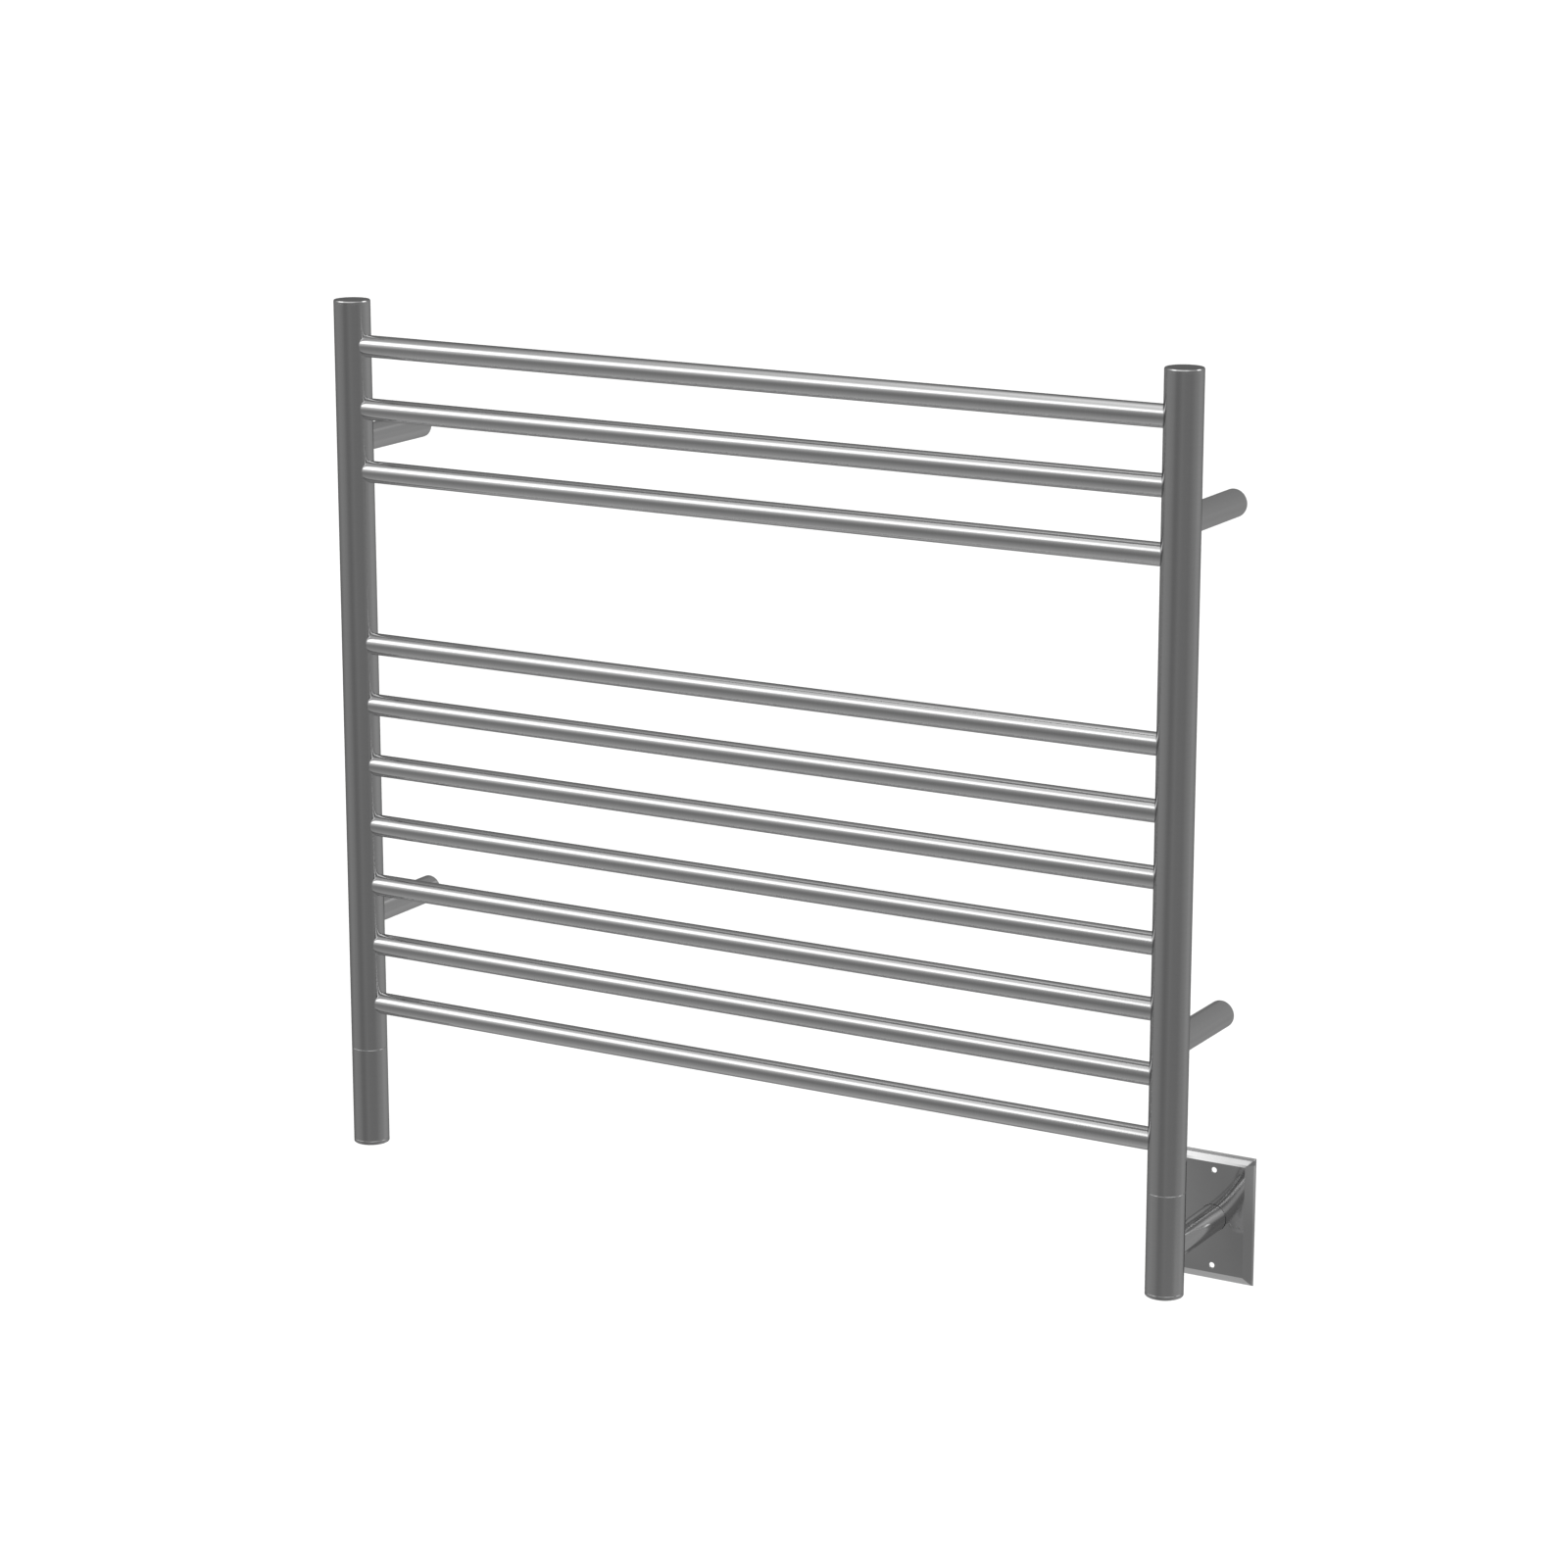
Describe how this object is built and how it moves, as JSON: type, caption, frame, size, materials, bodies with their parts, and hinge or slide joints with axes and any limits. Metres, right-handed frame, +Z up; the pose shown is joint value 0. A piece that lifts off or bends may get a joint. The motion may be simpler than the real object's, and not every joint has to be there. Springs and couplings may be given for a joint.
{
  "type": "towel warmer rack",
  "caption": "Wall-mounted electric towel warmer: straight round cross bars between two round uprights, on wall posts, with a bevelled plate over its hard-wired supply.",
  "frame": {"origin": "middle of the four wall fixings, on the wall plane", "axes": "+Z up, +Y into the wall, front towards -Y, +X towards the end with the supply tube"},
  "size_m": [0.8361, 0.1155, 0.7775],
  "materials": {
    "upright_steel": "brushed stainless, satin",
    "bar_steel": "brushed stainless, satin, with a brighter sheen along the top",
    "post_steel": "brushed stainless, satin",
    "plate_steel": "stainless sheet polished bright",
    "inner_steel": "plain turned stainless",
    "screw_steel": "dark stainless set screws",
    "sealing_rubber": "black rubber",
    "nylon": "white nylon",
    "cable_sheath": "red silicone",
    "block_plastic": "ivory heat-resisting plastic",
    "brass": "plain brass",
    "live_sheath": "black insulation",
    "neutral_sheath": "white insulation",
    "earth_sheath": "green insulation"
  },
  "bodies": {
    "rack": {"left_upright": "upright_steel", "right_upright": "upright_steel", "left_top_cap": "upright_steel", "right_top_cap": "upright_steel", "left_lower_sleeve": "upright_steel", "wiring_sleeve": "upright_steel", "left_bottom_cap": "upright_steel", "right_bottom_cap": "upright_steel", "bar_01": "bar_steel", "bar_02": "bar_steel", "bar_03": "bar_steel", "bar_04": "bar_steel", "bar_05": "bar_steel", "bar_06": "bar_steel", "bar_07": "bar_steel", "bar_08": "bar_steel", "bar_09": "bar_steel", "bar_10": "bar_steel", "upper_left_post": "post_steel", "upper_right_post": "post_steel", "lower_left_post": "post_steel", "lower_right_post": "post_steel", "cable_tube": "post_steel", "upper_left_dowel": "inner_steel", "upper_right_dowel": "inner_steel", "lower_left_dowel": "inner_steel", "lower_right_dowel": "inner_steel", "left_joiner": "inner_steel", "right_joiner": "inner_steel", "post_set_screws": "screw_steel", "sleeve_set_screws": "screw_steel", "lead_grommet": "sealing_rubber", "heating_cable": "cable_sheath", "thermal_cutout": "block_plastic", "cutout_lead": "cable_sheath", "terminal_block": "block_plastic", "terminal_screws": "brass", "live_lead": "live_sheath", "neutral_lead": "neutral_sheath", "earth_lead": "earth_sheath", "earth_stud": "brass", "earth_tag": "brass", "earth_nut": "brass"},
    "plate": {"wall_plate": "plate_steel", "plate_bush": "nylon"}
  },
  "joints": [
    {"name": "plate_slide", "type": "slide", "parent": "rack", "child": "plate", "axis": [0, -1, 0], "range_m": [0, 0.07]}
  ]
}
